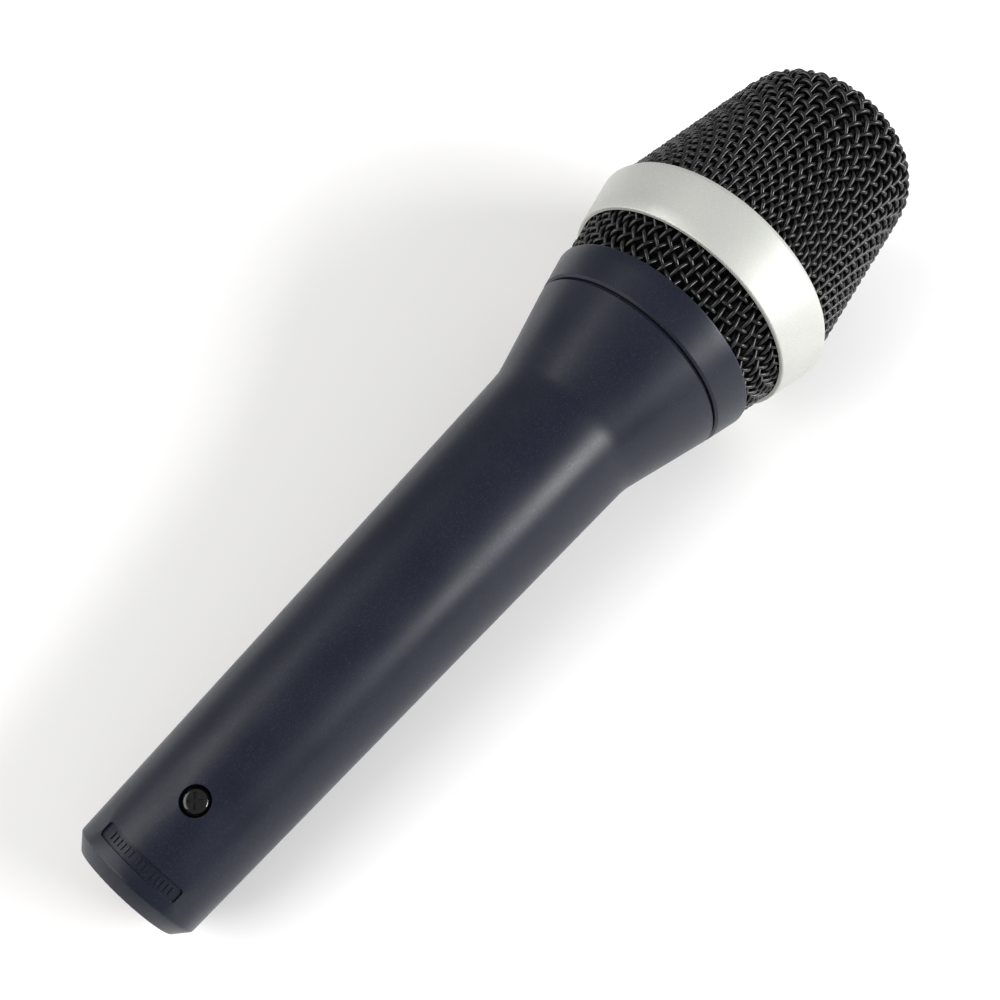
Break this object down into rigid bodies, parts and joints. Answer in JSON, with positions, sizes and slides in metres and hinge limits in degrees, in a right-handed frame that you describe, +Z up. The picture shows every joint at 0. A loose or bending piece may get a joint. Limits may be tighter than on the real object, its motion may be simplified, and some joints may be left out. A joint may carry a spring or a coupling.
{
  "type": "handheld dynamic microphone",
  "caption": "Handheld vocal microphone: tapered painted handle with a recessed round connector, woven wire head with a silver band, screwed on over a rubber-mounted moving-coil capsule.",
  "frame": {"origin": "centre of the base of the bounding box: the microphone lies on a flat surface at z = 0, touching it with the rim of its tail and the edge of its silver band", "axes": "+X towards the grille, along the length (the microphone's own axis rises 5.7 degrees towards +X), +Z up, the connector screw leans 10.8 degrees from up towards -Y"},
  "size_m": [0.1866, 0.051, 0.0507],
  "materials": {
    "slate_paint": "dark slate-blue satin lacquer with fine metallic flecks, on a zinc casting",
    "silver_paint": "pale silver metallic lacquer",
    "black_wire": "semi-gloss black enamel on steel wire",
    "black_screw": "glossy black plated steel",
    "contact_metal": "silver-plated brass",
    "plated_steel": "turned and zinc plated",
    "magnet_alloy": "sintered magnet alloy, nickel plated",
    "grey_shell": "matt anodised aluminium",
    "copper_wire": "enamelled copper winding",
    "clear_film": "thin clear polyester film",
    "black_nylon": "moulded black nylon",
    "black_rubber": "moulded black rubber",
    "black_foam": "open-cell black foam",
    "black_felt": "thin acoustic felt",
    "board": "phenolic paper board",
    "red_lead": "red insulated wire",
    "blue_lead": "blue insulated wire"
  },
  "bodies": {
    "handle": {"handle_body": "slate_paint", "connector_insert": "black_nylon", "contact_pin_1": "contact_metal", "contact_pin_2": "contact_metal", "contact_pin_3": "contact_metal", "ground_spring": "contact_metal", "connector_screw": "black_screw", "seam_gasket": "black_rubber", "foam_plug": "black_foam", "capsule_carrier": "black_nylon", "suspension_cage": "black_nylon", "rear_rubber": "black_rubber", "front_rubber": "black_rubber", "lead_hot": "red_lead", "lead_cold": "blue_lead"},
    "capsule": {"capsule_housing": "grey_shell", "magnet_yoke": "plated_steel", "magnet": "magnet_alloy", "pole_piece": "plated_steel", "diaphragm_ring": "plated_steel", "front_cover": "grey_shell", "front_screen": "black_felt", "rear_felt": "black_felt", "terminal_board": "board", "terminal_lugs": "contact_metal"},
    "membrane": {"diaphragm": "clear_film", "voice_coil": "copper_wire"},
    "liner": {"foam_liner": "black_foam"},
    "head": {"head_collar": "slate_paint", "lower_mesh": "black_wire", "seam_ring": "black_wire", "grille_band": "silver_paint", "upper_mesh": "black_wire"}
  },
  "joints": [
    {"name": "head_rise", "type": "slide", "parent": "handle", "child": "liner", "axis": [0.9951, 0, 0.0989], "range_m": [0, 0.0045]},
    {"name": "head_turn", "type": "hinge", "parent": "liner", "child": "head", "pos_m": [0.02685, 0, 0.02301], "axis": [0.9951, 0, 0.0989], "range_deg": [0, 1080]},
    {"name": "capsule_float", "type": "slide", "parent": "handle", "child": "capsule", "axis": [0.9951, 0, 0.0989], "range_m": [-0.001, 0.001], "stiffness_N_per_m": 800, "deforming": ["front_rubber", "rear_rubber", "lead_hot", "lead_cold"]},
    {"name": "diaphragm_stroke", "type": "slide", "parent": "capsule", "child": "membrane", "axis": [0.9951, 0, 0.0989], "range_m": [-0.00025, 0.00025], "stiffness_N_per_m": 40}
  ],
  "couplings": [
    {"joint": "head_rise", "follows": "head_turn", "m_per_rad": 0.00023873}
  ]
}
